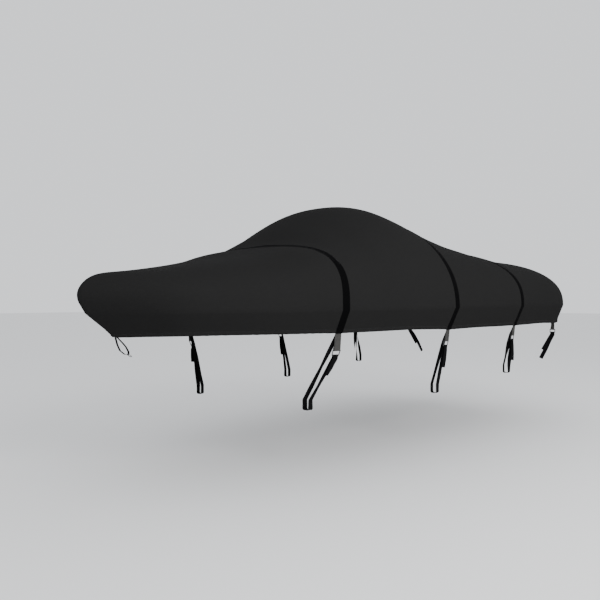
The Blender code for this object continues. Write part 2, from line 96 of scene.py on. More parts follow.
floor_mesh = bpy.data.meshes.new("floor")
floor_corners = ((-1, -1), (1, -1), (1, 1), (-1, 1))
floor_points = [(x * FLOOR_REACH, y * FLOOR_REACH, FLOOR_Z) for x, y in floor_corners]
floor_mesh.from_pydata(floor_points, [], [(0, 1, 2, 3)])
floor_finish = bpy.data.materials.new("floor_paint")
floor_finish.use_nodes = True
floor_shader = floor_finish.node_tree.nodes["Principled BSDF"]
floor_shader.inputs["Base Color"].default_value = FLOOR_COLOUR
floor_shader.inputs["Roughness"].default_value = FLOOR_ROUGHNESS
floor_mesh.materials.append(floor_finish)
floor = bpy.data.objects.new("floor", floor_mesh)
bpy.context.scene.collection.objects.link(floor)

# ---------------- the cover
# Black coated polyester, cut and sewn to its shape and pulled taut: a rounded top, high over the
# middle, that comes down to the rim (the cover's widest line), and a skirt that turns in below it.
# The hem along the skirt's lower edge is folded round a cord, which draws it into small gathers.
CLOTH_COLOUR = (0.0145, 0.0143, 0.0142)
CLOTH_ROUGHNESS = 0.92
CLOTH_THICKNESS = 0.002
HEM_HEIGHT = 0.026
HEM_BULGE = 0.004
COVER_ORIGIN = np.array((2.70, 0.0, 0.9499))
PROFILE = (
    # x, and how high the centre line stands there over the rim
    (0.00, 0.232), (0.20, 0.257), (0.45, 0.282), (0.80, 0.330), (1.10, 0.380), (1.40, 0.445),
    (1.60, 0.494), (1.83, 0.555), (2.00, 0.670), (2.20, 0.800), (2.45, 0.925), (2.75, 0.950),
    (3.10, 0.860), (3.50, 0.760), (3.95, 0.670), (4.40, 0.590), (4.90, 0.545), (5.40, 0.540),
    (5.80, 0.520),
)
SECTIONS = (
    # rim: x, half breadth, z; centre x; fullness; hem: tuck inwards, drop; flare
    (0.060, 0.000, -0.030, 0.36, 5.6, 0.222, 0.168, 0.062),
    (0.152, 0.138, -0.030, 0.42, 5.3, 0.180, 0.175, 0.059),
    (0.284, 0.325, -0.027, 0.52, 4.5, 0.170, 0.172, 0.050),
    (0.450, 0.530, -0.026, 0.68, 3.5, 0.144, 0.167, 0.025),
    (0.750, 0.710, -0.025, 0.92, 3.0, 0.118, 0.165, 0.010),
    (1.150, 0.880, -0.022, 1.29, 3.1, 0.105, 0.169, 0.000),
    (1.500, 0.985, -0.017, 1.63, 3.6, 0.100, 0.176, 0.000),
    (1.750, 1.050, -0.015, 1.87, 3.0, 0.100, 0.180, 0.000),
    (2.050, 1.100, -0.015, 2.15, 2.2, 0.100, 0.179, 0.000),
    (2.400, 1.140, -0.014, 2.48, 2.2, 0.100, 0.178, 0.000),
    (2.800, 1.170, -0.009, 2.86, 2.05, 0.098, 0.190, 0.000),
    (3.200, 1.183, -0.004, 3.24, 2.05, 0.095, 0.205, 0.000),
    (3.650, 1.187, 0.000, 3.64, 2.07, 0.092, 0.206, 0.000),
    (4.150, 1.183, 0.000, 4.06, 2.3, 0.090, 0.210, 0.000),
    (4.650, 1.170, -0.001, 4.46, 2.65, 0.088, 0.210, 0.000),
    (5.150, 1.160, -0.001, 4.82, 2.6, 0.085, 0.206, 0.000),
    (5.520, 1.175, -0.003, 5.03, 2.4, 0.083, 0.210, 0.000),
    (5.730, 1.085, -0.003, 5.10, 2.6, 0.080, 0.207, 0.000),
    (5.745, 0.850, -0.001, 5.16, 2.8, 0.075, 0.203, 0.000),
    (5.775, 0.420, 0.000, 5.22, 3.0, 0.075, 0.200, 0.000),
    (5.780, 0.000, 0.000, 5.26, 3.0, 0.075, 0.200, 0.000),
)
STERN_CORNER = 17             # the section at the stern's corner
END_TURN = 0.15               # over this length the skirt's ends turn square to the centre line
RIM_STEP = 0.001
TOP_ROWS = 52                 # rows of faces from the rim to the centre line
SKIRT_ROWS = 12
HEM_ROWS = 4
HEM_SHARE = 0.13              # the lowest part of the skirt, where the rows are finer
COLUMN_SPACING = 0.034
WELD_DISTANCE = 0.0002
CREASES = (
    # side; from x, height share; to x, height share; width, depth
    (1, 1.62, -0.9, 1.38, 0.25, 0.055, 0.0042),
    (1, 1.72, -0.9, 1.98, 0.20, 0.050, 0.0036),
    (1, 3.03, -0.9, 2.80, 0.22, 0.055, 0.0039),
    (1, 3.12, -0.9, 3.40, 0.26, 0.060, 0.0042),
    (1, 4.41, -0.9, 4.16, 0.20, 0.055, 0.0036),
    (1, 4.50, -0.9, 4.76, 0.24, 0.060, 0.0039),
    (1, 5.53, -0.9, 5.26, 0.30, 0.070, 0.0048),
    (-1, 1.60, -0.9, 1.34, 0.22, 0.060, 0.0039),
    (-1, 1.73, -0.9, 2.02, 0.24, 0.050, 0.0042),
    (-1, 3.02, -0.9, 2.76, 0.26, 0.060, 0.0042),
    (-1, 3.13, -0.9, 3.36, 0.20, 0.055, 0.0036),
    (-1, 4.40, -0.9, 4.12, 0.24, 0.060, 0.0042),
    (-1, 4.51, -0.9, 4.80, 0.20, 0.055, 0.0036),
    (-1, 5.52, -0.9, 5.22, 0.26, 0.070, 0.0048),
    (1, 1.62, 0.60, 0.90, 0.40, 0.060, 0.0040),
    (1, 1.70, 0.42, 2.12, 0.60, 0.060, 0.0040),
    (1, 2.98, 0.42, 2.50, 0.34, 0.050, 0.0030),
    (1, 4.40, 0.60, 3.90, 0.44, 0.060, 0.0032),
    (-1, 1.60, 0.56, 0.94, 0.44, 0.060, 0.0040),
    (-1, 1.70, 0.46, 2.08, 0.58, 0.060, 0.0036),
    (-1, 4.40, 0.56, 3.96, 0.48, 0.060, 0.0032),
)
HEIGHT_LENGTH = 0.45          # metres that a height share stands for, where creases are measured
CREASE_RIDGE = (0.45, 1.5)    # the swelling beside a crease: share of its depth, widths away
GATHER_DEPTH = 0.0011
GATHER_FADE = 0.42            # how far up the skirt the gathers reach
GATHER_BOW = (1.6, 0.30)      # how much deeper they are there, and over which length
GATHER_STERN = (1.2, 0.22)
GATHER_CALM = 0.06            # they stop over this length before the centre line


def smooth(stations, values):
    """A curve through a table's values that never overshoots them."""
    t, v = np.asarray(stations, float), np.asarray(values, float)
    step = np.diff(t)
    slope = np.diff(v) / step
    tangent = np.zeros(len(v))
    tangent[0], tangent[-1] = slope[0], slope[-1]
    for i in range(1, len(v) - 1):
        if slope[i - 1] * slope[i] > 0:
            before, after = 2 * step[i] + step[i - 1], step[i] + 2 * step[i - 1]
            tangent[i] = (before + after) / (before / slope[i - 1] + after / slope[i])

    def curve(x):
        i = np.clip(np.searchsorted(t, x) - 1, 0, len(t) - 2)
        u = (x - t[i]) / step[i]
        ends = (1 + 2 * u) * (1 - u) ** 2 * v[i] + u * u * (3 - 2 * u) * v[i + 1]
        return ends + step[i] * (u * (1 - u) ** 2 * tangent[i] + u * u * (u - 1) * tangent[i + 1])

    return curve


def spline(stations, values):
    """The smoothest curve through a table's values."""
    t, v = np.asarray(stations, float), np.asarray(values, float)
    h = np.diff(t)
    system, right = np.eye(len(t)), np.zeros(len(t))
    for i in range(1, len(t) - 1):
        system[i, i - 1:i + 2] = (h[i - 1], 2 * (h[i - 1] + h[i]), h[i])
        right[i] = 6 * ((v[i + 1] - v[i]) / h[i] - (v[i] - v[i - 1]) / h[i - 1])
    bend = np.linalg.solve(system, right)

    def curve(x):
        i = np.clip(np.searchsorted(t, x) - 1, 0, len(t) - 2)
        a, b = (t[i + 1] - x) / h[i], (x - t[i]) / h[i]
        lift = ((a ** 3 - a) * bend[i] + (b ** 3 - b) * bend[i + 1]) * h[i] ** 2 / 6
        return a * v[i] + b * v[i + 1] + lift

    return curve


SECTION_TABLE = np.array(SECTIONS)
RIM_STEPS = np.hypot(*np.diff(SECTION_TABLE[:, :2], axis=0).T)
ALONG = np.concatenate(([0.0], np.cumsum(RIM_STEPS)))
SECTION_CURVES = [smooth(ALONG, column) for column in SECTION_TABLE.T]
RIM_X, RIM_HALF, _, _, _, HEM_TUCK, HEM_DROP, _ = SECTION_CURVES
TOP_LINE = spline(*np.array(PROFILE).T)


def cloth_point(s, height):
    """The taut cloth, before its creases. s runs along the rim from bow to stern; height is -1 at
    the hem, 0 at the rim and 1 on the centre line. Both may be arrays."""
    s, height = np.broadcast_arrays(np.asarray(s, float), np.asarray(height, float))
    x, half, z, centre, fullness, tuck, drop, flare = (curve(s) for curve in SECTION_CURVES)
    # the way inward from the rim, square to the centre line at both ends
    ahead, behind = np.minimum(s + RIM_STEP, ALONG[-1]), np.maximum(s - RIM_STEP, 0.0)
    run = np.stack([curve(ahead) - curve(behind) for curve in (RIM_X, RIM_HALF)])
    at_bow, at_stern = s < 1e-6, s > ALONG[-1] - 1e-6
    run = run / np.hypot(run[0], run[1])
    calm = np.clip(s / END_TURN, 0.0, 1.0) * np.clip((ALONG[-1] - s) / END_TURN, 0.0, 1.0)
    run = run * calm
    run[1] += np.where(s < ALONG[-1] / 2, 1.0, -1.0) * (1 - calm)
    run = run / np.hypot(run[0], run[1])
    inward = np.stack((run[1], -run[0]))
    # the skirt, with the casing's bulge above the hem's edge
    down = np.clip(-height, 0.0, 1.0)
    slant = np.hypot(tuck, drop)
    casing = np.clip((1 - down) * slant / HEM_HEIGHT, 0.0, 1.0)
    bulge = HEM_BULGE * np.sin(math.pi * casing) ** 0.6 * (casing < 1)
    skirt_x = x + inward[0] * (tuck * down - bulge * drop / slant)
    skirt_y = half + inward[1] * (tuck * down - bulge * drop / slant)
    skirt_z = z - drop * down - bulge * tuck / slant
    # the top: an arch, with squarer shoulders where it is fuller
    angle = 0.5 * math.pi * np.clip(height, 0.0, 1.0)
    across = np.maximum(np.cos(angle), 0.0) ** (2 / fullness)
    rise = np.sin(angle) ** (2 / fullness)
    top_x = centre + (x - centre) * across - inward[0] * flare * np.sin(math.pi * rise)
    top_y = half * across - inward[1] * flare * np.sin(math.pi * rise)
    top_z = z + (TOP_LINE(top_x) - z) * rise
    low = height < 0
    side = np.where(low, skirt_y, top_y)
    side = np.where(at_bow | at_stern | (height > 1 - 1e-9), 0.0, side)
    return np.stack((np.where(low, skirt_x, top_x), side, np.where(low, skirt_z, top_z)), axis=-1)


def crease_depth(points, height, side):
    """How far the soft creases draw the cloth in, for points of one side."""
    depth = np.zeros(points.shape[:-1])
    height = np.broadcast_to(height, depth.shape)
    ridge_share, ridge_away = CREASE_RIDGE
    for which, x0, h0, x1, h1, width, most in CREASES:
        if which != side:
            continue
        run = np.array((x1 - x0, (h1 - h0) * HEIGHT_LENGTH))
        off = np.stack((points[..., 0] - x0, (height - h0) * HEIGHT_LENGTH))
        share = np.clip((off[0] * run[0] + off[1] * run[1]) / (run @ run), 0.0, 1.0)
        away = np.hypot(off[0] - share * run[0], off[1] - share * run[1])
        spread_out = width * (0.5 + 0.9 * share)
        beyond = (away - ridge_away * spread_out) / spread_out
        depth += most * np.exp(-((away / spread_out) ** 2)) * (1 - share) * (1 - 0.3 * share)
        depth -= ridge_share * most * np.exp(-(beyond ** 2)) * (1 - share)
    return depth


def hem_gathers(s, height, side):
    """The small, uneven gathers that the cord draws into the hem. They fade out up the skirt."""
    phase = 1.7 * side
    wave = np.sin(s * 96.0 + 2.1 * np.sin(s * 7.3 + phase))
    wave *= 0.6 + 0.4 * np.sin(s * 3.1 + 2 * phase)
    at_bow = GATHER_BOW[0] * np.exp(-((s / GATHER_BOW[1]) ** 2))
    from_corner = (s - ALONG[STERN_CORNER]) / GATHER_STERN[1]
    ends = 1 + at_bow + GATHER_STERN[0] * np.exp(-(from_corner ** 2))
    calm = np.minimum(s, ALONG[-1] - s).clip(0.0, GATHER_CALM) / GATHER_CALM
    return GATHER_DEPTH * wave * ends * calm * np.exp(-((height + 1.0) / GATHER_FADE) ** 2)


def cloth_normals(grid):
    """Outward normals of a grid of points (columns along the rim, rows upwards)."""
    along = np.gradient(grid, axis=0)
    up = np.gradient(grid, axis=1)
    normal = np.cross(along, up)
    normal[:, -1] = np.cross(along[:, -1], np.array((0.0, 1.0, 0.0)))
    normal[[0, -1], :, 1] = 0.0
    normal[:, -1, 1] = 0.0
    normal /= np.maximum(np.linalg.norm(normal, axis=-1, keepdims=True), 1e-12)
    return normal


def cloth_surface(s, height, side):
    """A grid of the creased cloth and its outward normals, in the object's frame, on one side."""
    grid = cloth_point(s, height)
    grid[..., 1] *= -1
    base = cloth_normals(grid)
    top_row = np.broadcast_to(height, grid.shape[:-1]) > 1 - 1e-9
    base[top_row] = np.where(base[top_row][:, 2:] < 0, -base[top_row], base[top_row])
    inwards = crease_depth(grid, height, side) + hem_gathers(s, height, side)
    grid = grid - base * inwards[..., None]
    grid[top_row, 1] = 0.0
    normal = cloth_normals(grid)
    normal[top_row] = np.where(normal[top_row][:, 2:] < 0, -normal[top_row], normal[top_row])
    if side < 0:
        grid[..., 1] *= -1
        normal[..., 1] *= -1
    return grid - COVER_ORIGIN, normal


def sheet_mesh(name, grids, flips):
    """One mesh of quads over grids of points, with UVs in metres along and across the sheet."""
    points, faces, places = [], [], []
    for grid, flip in zip(grids, flips):
        start = len(points)
        columns, rows = grid.shape[:2]
        points += [tuple(p) for p in grid.reshape(-1, 3)]
        steps_along = np.linalg.norm(np.diff(grid[:, rows // 2], axis=0), axis=1)
        along = np.concatenate(([0.0], np.cumsum(steps_along)))
        steps_up = np.linalg.norm(np.diff(grid, axis=1), axis=2)
        up = np.concatenate((np.zeros((columns, 1)), np.cumsum(steps_up, 1)), 1)
        places += [(along[i], up[i, j]) for i in range(columns) for j in range(rows)]
        for i in range(columns - 1):
            for j in range(rows - 1):
                a, b = start + i * rows + j, start + (i + 1) * rows + j
                faces.append((a, a + 1, b + 1, b) if flip else (a, b, b + 1, a + 1))
    mesh = bpy.data.meshes.new(name)
    mesh.from_pydata(points, [], faces)
    layer = mesh.uv_layers.new(name="cut")
    corners = np.empty(len(mesh.loops), int)
    mesh.loops.foreach_get("vertex_index", corners)
    layer.data.foreach_set("uv", np.array(places)[corners].ravel())
    return mesh


def baked(source):
    """Swaps an object's mesh for the plain one that its modifiers make, and removes them."""
    bpy.context.view_layer.update()
    seen = source.evaluated_get(bpy.context.evaluated_depsgraph_get())
    made = bpy.data.meshes.new_from_object(seen)
    source.modifiers.clear()
    old = source.data
    source.data = made
    bpy.data.meshes.remove(old)
    return made


def thickened(mesh, thickness, offset):
    """A sheet's mesh with a thickness: inwards where the offset is -1, outwards where it is 1."""
    sheet = bpy.data.objects.new("sheet", mesh)
    bpy.context.scene.collection.objects.link(sheet)
    wall = sheet.modifiers.new("Wall", "SOLIDIFY")
    wall.thickness = thickness
    wall.offset = offset
    wall.use_quality_normals = True
    made = baked(sheet)
    bpy.data.objects.remove(sheet)
    return made


def fitted(name, node, mesh, finish, slot, sharp=None):
    """Puts a finished mesh in the scene in its node's place, attached to the root body. Edges
    sharper than the given degrees stay crisp."""
    mesh.materials.clear()
    mesh.materials.append(finish)
    mesh.shade_smooth()
    if sharp:
        mesh.set_sharp_from_angle(angle=math.radians(sharp))
    made = bpy.data.objects.new(name, mesh)
    bpy.context.scene.collection.objects.link(made)
    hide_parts(node)
    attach(made, "root")
    return made


def worked_out(tree, operation, *values):
    """The output of a Math node. Each value is a number or another node's output."""
    made = tree.nodes.new("ShaderNodeMath")
    made.operation = operation
    for socket, value in zip(made.inputs, values):
        if isinstance(value, (int, float)):
            socket.default_value = value
        else:
            tree.links.new(value, socket)
    return made.outputs[0]


def patches(tree, scale, detail=2.0):
    """The output of a Noise node that lies still on the piece."""
    place = tree.nodes.new("ShaderNodeTexCoord")
    noise = tree.nodes.new("ShaderNodeTexNoise")
    noise.inputs["Scale"].default_value = scale
    noise.inputs["Detail"].default_value = detail
    tree.links.new(place.outputs["Object"], noise.inputs["Vector"])
    return noise.outputs["Fac"]


def weave_group(name, settings):
    """An empty shader group with the given inputs, and the outputs that every weave has."""
    group = bpy.data.node_groups.new(name, "ShaderNodeTree")
    for key, value in settings.items():
        made = group.interface.new_socket(key, in_out="INPUT", socket_type="NodeSocketFloat")
        made.default_value = value
    for key in ("Height", "Tone"):
        group.interface.new_socket(key, in_out="OUTPUT", socket_type="NodeSocketFloat")
    cut = group.nodes.new("ShaderNodeUVMap")
    cut.uv_map = "cut"
    split = group.nodes.new("ShaderNodeSeparateXYZ")
    group.links.new(cut.outputs["UV"], split.inputs[0])
    enter, leave = group.nodes.new("NodeGroupInput"), group.nodes.new("NodeGroupOutput")
    return group, enter.outputs, leave.inputs, split.outputs


def cloth_group():
    """Shader group: a plain weave over a UV map in metres, and the uneven tone of coated cloth."""
    group, enter, leave, cut = weave_group(
        "woven_cloth", {"Threads per metre": 900.0, "Unevenness": 0.1}
    )
    waves = []
    for axis in ("X", "Y"):
        thread = worked_out(group, "MULTIPLY", cut[axis], enter["Threads per metre"])
        waves.append(worked_out(group, "SINE", worked_out(group, "MULTIPLY", thread, math.pi)))
    group.links.new(worked_out(group, "MULTIPLY", *waves), leave["Height"])
    broad, fine = patches(group, 1.3), patches(group, 38.0, 3.0)
    centred = worked_out(group, "SUBTRACT", worked_out(group, "ADD", broad, fine), 1.0)
    tone = worked_out(group, "MULTIPLY_ADD", centred, enter["Unevenness"], 1.0)
    group.links.new(tone, leave["Tone"])


def woven_finish(name, group, colour, roughness, relief, depth, settings):
    """Matte woven cloth: its colour and roughness, and the weave of a group with its own values.
    relief is the strength of the weave and depth its height in metres."""
    made = bpy.data.materials.new(name)
    made.use_nodes = True
    nodes, links = made.node_tree.nodes, made.node_tree.links
    shader = nodes["Principled BSDF"]
    shader.inputs["Roughness"].default_value = roughness
    shader.inputs["Specular IOR Level"].default_value = 0.01
    woven = nodes.new("ShaderNodeGroup")
    woven.node_tree = bpy.data.node_groups[group]
    for key, value in settings.items():
        woven.inputs[key].default_value = value
    tint = nodes.new("ShaderNodeVectorMath")
    tint.operation = "SCALE"
    tint.inputs[0].default_value = colour
    links.new(woven.outputs["Tone"], tint.inputs["Scale"])
    links.new(tint.outputs[0], shader.inputs["Base Color"])
    bump = nodes.new("ShaderNodeBump")
    bump.inputs["Strength"].default_value = relief
    bump.inputs["Distance"].default_value = depth
    links.new(woven.outputs["Height"], bump.inputs["Height"])
    links.new(bump.outputs["Normal"], shader.inputs["Normal"])
    return made


cloth_group()
cover_black = woven_finish(
    "cover_cloth_coated", "woven_cloth", CLOTH_COLOUR, CLOTH_ROUGHNESS, relief=0.25, depth=0.0003,
    settings={"Threads per metre": 900.0, "Unevenness": 0.10},
)

column_count = math.ceil(ALONG[-1] / COLUMN_SPACING)
cover_s = np.linspace(0.0, ALONG[-1], column_count + 1)[:, None]
hem_share = np.linspace(0.0, HEM_SHARE, HEM_ROWS + 1)[:-1]
skirt_share = np.linspace(HEM_SHARE, 1.0, SKIRT_ROWS + 1)[:-1]
top_share = np.linspace(0.0, 1.0, TOP_ROWS + 1)
cover_h = np.concatenate((-1 + hem_share, -1 + skirt_share, top_share))[None, :]
halves = [cloth_surface(cover_s, cover_h, side)[0] for side in (1, -1)]
for joined in (np.s_[0], np.s_[-1], np.s_[:, -1]):
    halves[0][joined] = halves[1][joined] = (halves[0][joined] + halves[1][joined]) / 2
cover_mesh = sheet_mesh("cover_cloth", halves, (False, True))
welded = bmesh.new()
welded.from_mesh(cover_mesh)
bmesh.ops.remove_doubles(welded, verts=welded.verts, dist=WELD_DISTANCE)
bmesh.ops.recalc_face_normals(welded, faces=welded.faces)
welded.to_mesh(cover_mesh)
welded.free()
cover_mesh = thickened(cover_mesh, CLOTH_THICKNESS, -1.0)
cover = fitted("cover_cloth", "cover_shell", cover_mesh, cover_black, "cover_cloth")

# ---------------- webbing and thread
# All of the cover's webbing is woven polypropylene: flat, with ribs along its length. It is sewn on
# with doubled black thread, so each row of stitches is a row of short raised dashes.
WEBBING_THICKNESS = 0.0018
AIR = 0.0004                  # between webbing and the cloth that it is sewn to
THREAD_COLOUR = (0.010, 0.010, 0.011)
STITCH_PITCH = 0.0070
STITCH_LENGTH = 0.0046
STITCH_THICKNESS = 0.0011
STITCH_RISE = STITCH_THICKNESS * 0.2     # how far a stitch's middle stands over what it sews
STITCH_SIDES = 6


def webbing_group():
    """Shader group: ribs along a strap, its picks across, and a slightly uneven tone, with painted
    shade that darkens the weave's low places.
    """
    group, enter, leave, cut = weave_group(
        "woven_webbing", {"Rib": 0.0055, "Pick": 0.0024, "Unevenness": 0.12}
    )
    full_turn = 2 * math.pi
    ribs = worked_out(group, "DIVIDE", cut["X"], enter["Rib"])
    picks = worked_out(group, "DIVIDE", cut["Y"], enter["Pick"])
    across = worked_out(group, "MULTIPLY", ribs, full_turn)
    along = worked_out(group, "MULTIPLY", picks, full_turn)
    skewed = worked_out(group, "ADD", along, worked_out(group, "MULTIPLY", across, 0.5))
    rib = worked_out(group, "MULTIPLY_ADD", worked_out(group, "COSINE", across), 0.5, 0.5)
    pick = worked_out(group, "MULTIPLY_ADD", worked_out(group, "SINE", skewed), 0.5, 0.5)
    height = worked_out(group, "MULTIPLY_ADD", pick, 0.35, worked_out(group, "MULTIPLY", rib, 0.65))
    group.links.new(height, leave["Height"])
    centred = worked_out(group, "SUBTRACT", patches(group, 24.0, 3.0), 0.5)
    uneven = worked_out(group, "MULTIPLY", centred, enter["Unevenness"])
    # painted shade: the webbing's colour is darker where the weave is low and lighter on its high
    # places
    painted_valley_shade = worked_out(group, "MULTIPLY_ADD", height, 0.30, 0.82)
    group.links.new(worked_out(group, "ADD", painted_valley_shade, uneven), leave["Tone"])


def webbing_finish(name, colour, rib):
    """Matte webbing of one colour, with ribs of one width."""
    return woven_finish(
        name, "woven_webbing", colour, roughness=0.8, relief=0.7, depth=0.0006,
        settings={"Rib": rib},
    )


def plain_finish(name, colour, roughness, uneven, metallic=0.0):
    """A smooth finish whose roughness varies a little from place to place."""
    made = bpy.data.materials.new(name)
    made.use_nodes = True
    nodes, links = made.node_tree.nodes, made.node_tree.links
    shader = nodes["Principled BSDF"]
    shader.inputs["Base Color"].default_value = (*colour, 1.0)
    shader.inputs["Metallic"].default_value = metallic
    spread_out = nodes.new("ShaderNodeMapRange")
    spread_out.inputs["To Min"].default_value = roughness - uneven
    spread_out.inputs["To Max"].default_value = roughness + uneven
    links.new(patches(made.node_tree, 90.0), spread_out.inputs["Value"])
    links.new(spread_out.outputs["Result"], shader.inputs["Roughness"])
    return made


webbing_group()
thread_black = plain_finish("thread_black", THREAD_COLOUR, roughness=0.55, uneven=0.05)


def stitch_tree():
    """Geometry nodes: lays a short dash of thread at each pitch along a line, as plain mesh."""
    tree = bpy.data.node_groups.new("stitch_row", "GeometryNodeTree")
    face = tree.interface
    face.new_socket("Geometry", in_out="INPUT", socket_type="NodeSocketGeometry")
    for name in ("Pitch", "Length", "Thickness"):
        face.new_socket(name, in_out="INPUT", socket_type="NodeSocketFloat")
    face.new_socket("Thread", in_out="INPUT", socket_type="NodeSocketMaterial")
    face.new_socket("Geometry", in_out="OUTPUT", socket_type="NodeSocketGeometry")
    nodes, links = tree.nodes, tree.links
    enter, leave = nodes.new("NodeGroupInput"), nodes.new("NodeGroupOutput")
    line = nodes.new("GeometryNodeMeshToCurve")
    links.new(enter.outputs["Geometry"], line.inputs["Mesh"])
    even = nodes.new("GeometryNodeResampleCurve")
    even.mode = "LENGTH"
    links.new(line.outputs["Curve"], even.inputs["Curve"])
    links.new(enter.outputs["Pitch"], even.inputs["Length"])
    dash = nodes.new("GeometryNodeMeshCylinder")
    dash.inputs["Vertices"].default_value = STITCH_SIDES
    radius = worked_out(tree, "MULTIPLY", enter.outputs["Thickness"], 0.5)
    links.new(radius, dash.inputs["Radius"])
    links.new(enter.outputs["Length"], dash.inputs["Depth"])
    tangent = nodes.new("GeometryNodeInputTangent")
    turn = nodes.new("FunctionNodeAlignRotationToVector")
    turn.axis = "Z"
    links.new(tangent.outputs[0], turn.inputs["Vector"])
    laid = nodes.new("GeometryNodeInstanceOnPoints")
    links.new(even.outputs["Curve"], laid.inputs["Points"])
    links.new(dash.outputs["Mesh"], laid.inputs["Instance"])
    links.new(turn.outputs[0], laid.inputs["Rotation"])
    real = nodes.new("GeometryNodeRealizeInstances")
    links.new(laid.outputs[0], real.inputs[0])
    finish = nodes.new("GeometryNodeSetMaterial")
    links.new(real.outputs[0], finish.inputs["Geometry"])
    links.new(enter.outputs["Thread"], finish.inputs["Material"])
    links.new(finish.outputs[0], leave.inputs[0])
    return tree


stitches = stitch_tree()


def stitch_rows(name, lines, pitch=STITCH_PITCH):
    """Rows of stitches along lines of points, as one piece."""
    points, edges = [], []
    for line in lines:
        start = len(points)
        points += [tuple(p) for p in line]
        edges += [(start + i, start + i + 1) for i in range(len(line) - 1)]
    mesh = bpy.data.meshes.new(name)
    mesh.from_pydata(points, edges, [])
    rows = bpy.data.objects.new(name, mesh)
    bpy.context.scene.collection.objects.link(rows)
    sewn = rows.modifiers.new("Stitches", "NODES")
    sewn.node_group = stitches
    settings = {"Pitch": pitch, "Length": STITCH_LENGTH, "Thickness": STITCH_THICKNESS}
    settings["Thread"] = thread_black
    for item in stitches.interface.items_tree:
        if item.in_out == "INPUT" and item.name in settings:
            sewn[item.identifier] = settings[item.name]
    baked(rows)
    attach(rows, "root")
    return rows


# ---------------- the bands
# Three bands of wide black webbing, each sewn flat on the cloth from the hem of one side over the
# top to the hem of the other, with a row of stitches along each edge.
BANDS = (("fore", 1.655), ("mid", 3.072), ("aft", 4.452))     # name, x where it crosses the rim
BAND_COLOUR = (0.0024, 0.0024, 0.0026)
BAND_RIB = 0.0055
BAND_WIDTH = 0.066
BAND_COLUMNS = (-0.5, -0.47, -0.25, 0.0, 0.25, 0.47, 0.5)     # as shares of the width
BAND_ROWS = (22, 64)          # points up the skirt, and from the rim to the centre line
EDGE_TO_STITCHES = 0.0045
WEBBING_SHARP = 50


def rim_station(x):
    """The distance along the rim at which it passes x."""
    steps = np.linspace(0.0, ALONG[STERN_CORNER], 4000)
    return float(np.interp(x, RIM_X(steps), steps))


def across_band(x, offsets):
    """Stations on the cloth at steps off a band's middle, for every height from hem to top."""
    skirt, top = BAND_ROWS
    heights = np.concatenate((np.linspace(-1.0, 0.0, skirt)[:-1], np.linspace(0.0, 1.0, top)))
    heights = heights[None, :]
    middle = rim_station(x)
    before, after = (cloth_point(middle + step, heights) for step in (-0.005, 0.005))
    speed = np.linalg.norm(after - before, axis=-1) / 0.01
    return middle + np.array(offsets)[:, None] / speed, heights


def over_the_top(x, offsets, lift):
    """A grid of points from hem to hem, lifted off the cloth."""
    s, heights = across_band(x, offsets)
    port, starboard = (
        grid + normal * lift
        for grid, normal in (cloth_surface(s, heights, side) for side in (1, -1))
    )
    seam = (port[:, -1:] + starboard[:, -1:]) / 2
    return np.concatenate((port[:, :-1], seam, starboard[:, -2::-1]), axis=1)


band_black = webbing_finish("band_webbing_black", BAND_COLOUR, BAND_RIB)
bands, band_seams = [], []
for band_name, band_x in BANDS:
    grid = over_the_top(band_x, np.array(BAND_COLUMNS) * BAND_WIDTH, AIR)
    band_mesh = thickened(sheet_mesh("band", (grid,), (False,)), WEBBING_THICKNESS, 1.0)
    band = fitted(
        "webbing_band_" + band_name, "band_" + band_name, band_mesh, band_black, "band_webbing",
        WEBBING_SHARP,
    )
    bands.append(band)
    edge = BAND_WIDTH / 2 - EDGE_TO_STITCHES
    band_seams += list(over_the_top(band_x, (-edge, edge), AIR + WEBBING_THICKNESS + STITCH_RISE))
bands.append(stitch_rows("stitches_bands", band_seams))

# ---------------- the hem's seam
# The hem is the cloth's own edge, folded up round its cord. One row of stitches right round the
# cover holds the fold, just above the casing.
SEAM_HEIGHT = 0.033
SEAM_START = 0.02             # from the centre line, at the bow and at the stern
SEAM_POINTS = 900

seam_s = np.linspace(SEAM_START, ALONG[-1] - SEAM_START, SEAM_POINTS)[:, None]
slant = np.hypot(HEM_TUCK(seam_s), HEM_DROP(seam_s))
seam_rows = [-1 + (SEAM_HEIGHT + step) / slant for step in (-0.002, 0.0, 0.002)]
seam_h = np.concatenate(seam_rows, axis=1)
hem_seams = []
for side in (1, -1):
    grid, normal = cloth_surface(seam_s, seam_h, side)
    hem_seams.append(grid[:, 1] + normal[:, 1] * STITCH_RISE)
hem_stitches = stitch_rows("stitches_hem", hem_seams)

# ---------------- the tabs
# Short pieces of grey webbing, sewn inside the hem under both ends of each band, and under the
# stern near each side. Each hangs down to a buckle, passes round the buckle's upper bar, and is
# folded up and sewn to its own back with a box of stitches.
TAB_COLOUR = (0.052, 0.051, 0.049)
TAB_RIB = 0.0100
TAB_WIDTH = 0.060
TAB_LENGTHS = {"fore": 0.128, "mid": 0.098, "aft": 0.098, "stern": 0.080}
STERN_TAB_WIDTH = 0.042
STERN_TAB = 6.150             # how far along the rim the tab under the stern hangs
STERN_TAB_ROOM = 0.0026       # it hangs a little further inside, where the hem curves
TAB_ROOM = 0.0002
TAB_INSIDE = 0.045            # how far up inside the skirt it is sewn
TAB_LEAN = 0.10               # how far a tab hangs inwards, for each metre down
BELOW_HEM = 0.009             # where it turns from the skirt's slant to its own
FOLD_ROOM = 0.0014            # between two layers of webbing
TURN_RADIUS = 0.0076          # of webbing round a buckle's bar
BOX_INSET = 0.006
BOX_CORNERS = ((-1, 0.30), (1, 0.30), (1, 0.62), (-1, 0.62))  # side, share of the tab's length
BOX_PITCH = 0.006
ORIGIN = Vector(COVER_ORIGIN)


